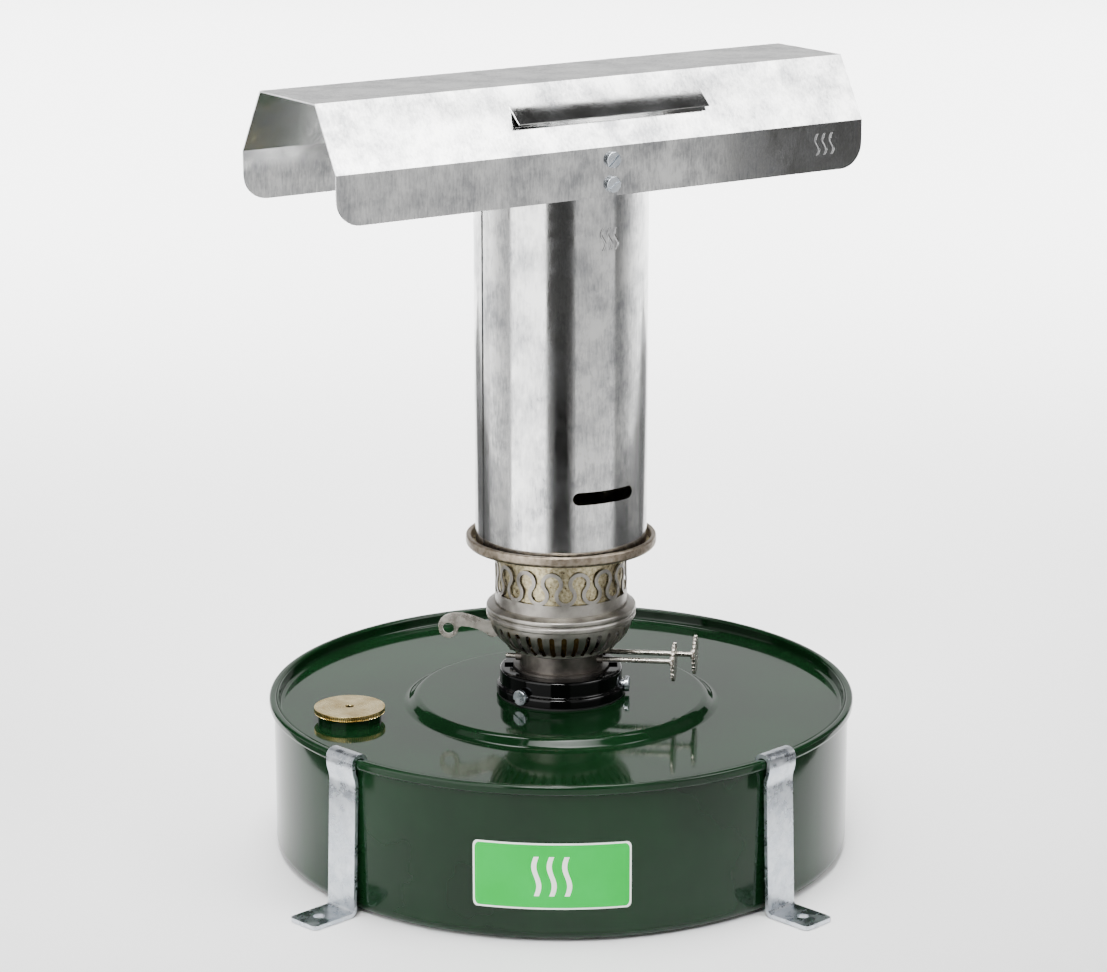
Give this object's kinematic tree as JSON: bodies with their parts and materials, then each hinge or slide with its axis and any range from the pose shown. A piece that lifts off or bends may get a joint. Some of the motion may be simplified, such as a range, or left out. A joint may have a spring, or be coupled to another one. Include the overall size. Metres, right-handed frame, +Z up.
{
  "type": "paraffin greenhouse heater",
  "caption": "Round green fuel tank with a twin flat-wick burner, an openwork gallery, a tall sheet-metal chimney and a folded deflector hood, held by rim-hook feet.",
  "frame": {"origin": "centre of the tank's flat underside, on the surface it stands on", "axes": "+Z up the chimney; -Y towards the front, where the sticker is; the filler is towards -X"},
  "size_m": [0.3058, 0.328, 0.3985],
  "materials": {
    "tank_enamel": "dark green gloss enamel",
    "label_film": "glossy printed sticker, plain green",
    "seal_rubber": "black rubber washer",
    "cap_brass": "turned pale brass",
    "collar_black": "gloss black enamel",
    "zinc_plate": "bright zinc plate",
    "burner_metal": "matt nickel plate",
    "burner_brass": "dull pressed brass",
    "wick_cotton": "woven flat cotton wick",
    "winder_steel": "nickel-plated steel",
    "seat_gilt": "yellow passivated steel, speckled",
    "galvanised_sheet": "galvanised sheet with spangle"
  },
  "bodies": {
    "tank": {"tank_shell": "tank_enamel", "tank_top": "tank_enamel", "tank_label": "label_film", "filler_neck": "tank_enamel", "collar_gasket": "seal_rubber", "burner_collar": "collar_black", "collar_screws": "zinc_plate"},
    "filler_seal": {"filler_gasket": "seal_rubber"},
    "filler_lid": {"filler_cap": "cap_brass"},
    "burner": {"burner_neck": "burner_metal", "burner_bowl": "burner_metal", "burner_band": "burner_metal", "gallery": "burner_metal", "wick_tube_front": "burner_brass", "wick_tube_rear": "burner_brass", "flame_cone": "burner_brass", "lever_bracket": "burner_metal", "lever_pin": "zinc_plate"},
    "winder_front": {"winder_shaft_front": "winder_steel", "winder_wheels_front": "winder_steel", "winder_knob_front": "winder_steel"},
    "winder_rear": {"winder_shaft_rear": "winder_steel", "winder_wheels_rear": "winder_steel", "winder_knob_rear": "winder_steel"},
    "front_wick": {"wick_front": "wick_cotton"},
    "rear_wick": {"wick_rear": "wick_cotton"},
    "lever": {"extinguisher_lever": "winder_steel"},
    "snuffer_frame": {"snuffer": "burner_metal"},
    "seat": {"chimney_seat": "seat_gilt"},
    "chimney_unit": {"chimney": "galvanised_sheet", "hood": "galvanised_sheet", "hood_screws": "zinc_plate", "hood_nuts": "zinc_plate"},
    "left_bracket": {"bracket_front_left": "zinc_plate"},
    "right_bracket": {"bracket_front_right": "zinc_plate"},
    "rear_bracket": {"bracket_rear": "zinc_plate"}
  },
  "joints": [
    {"name": "filler_cap_rise", "type": "slide", "parent": "tank", "child": "filler_seal", "axis": [0, 0, 1], "range_m": [0, 0.0045]},
    {"name": "filler_cap_turn", "type": "hinge", "parent": "filler_seal", "child": "filler_lid", "pos_m": [-0.10716, -0.03154, 0.0795], "axis": [0, 0, 1], "range_deg": [0, 1080]},
    {"name": "burner_twist", "type": "hinge", "parent": "tank", "child": "burner", "pos_m": [0, 0, 0.09], "axis": [0, 0, 1], "range_deg": [-20, 0]},
    {"name": "front_winder_turn", "type": "hinge", "parent": "burner", "child": "winder_front", "pos_m": [-0.00088, -0.00664, 0.0988], "axis": [0.9914, -0.1305, 0], "range_deg": [-58, 100]},
    {"name": "rear_winder_turn", "type": "hinge", "parent": "burner", "child": "winder_rear", "pos_m": [0.00088, 0.00664, 0.0988], "axis": [0.9914, -0.1305, 0], "range_deg": [-100, 58]},
    {"name": "front_wick_travel", "type": "slide", "parent": "burner", "child": "front_wick", "axis": [0, 0, 1], "range_m": [-0.0052, 0.003]},
    {"name": "rear_wick_travel", "type": "slide", "parent": "burner", "child": "rear_wick", "axis": [0, 0, 1], "range_m": [-0.0052, 0.003]},
    {"name": "extinguisher_press", "type": "hinge", "parent": "burner", "child": "lever", "pos_m": [-0.02677, 0.00352, 0.1122], "axis": [-0.1305, -0.9914, 0], "range_deg": [0, 25]},
    {"name": "snuffer_rise", "type": "slide", "parent": "burner", "child": "snuffer_frame", "axis": [0, 0, 1], "range_m": [0, 0.0068]},
    {"name": "chimney_turn", "type": "hinge", "parent": "burner", "child": "seat", "pos_m": [0, 0, 0.155], "axis": [0, 0, 1], "continuous": true},
    {"name": "chimney_lift", "type": "slide", "parent": "seat", "child": "chimney_unit", "axis": [0, 0, 1], "range_m": [0, 0.08]},
    {"name": "left_bracket_slide", "type": "hinge", "parent": "tank", "child": "left_bracket", "pos_m": [0, 0, 0.04], "axis": [0, 0, 1], "range_deg": [-30, 30]},
    {"name": "right_bracket_slide", "type": "hinge", "parent": "tank", "child": "right_bracket", "pos_m": [0, 0, 0.04], "axis": [0, 0, 1], "range_deg": [-30, 30]},
    {"name": "rear_bracket_slide", "type": "hinge", "parent": "tank", "child": "rear_bracket", "pos_m": [0, 0, 0.04], "axis": [0, 0, 1], "range_deg": [-30, 30]}
  ],
  "couplings": [
    {"joint": "filler_cap_rise", "follows": "filler_cap_turn", "m_per_rad": 0.00023873},
    {"joint": "front_wick_travel", "follows": "front_winder_turn", "m_per_rad": -0.00295},
    {"joint": "rear_wick_travel", "follows": "rear_winder_turn", "m_per_rad": 0.00295},
    {"joint": "snuffer_rise", "follows": "extinguisher_press", "m_per_rad": 0.0153}
  ]
}
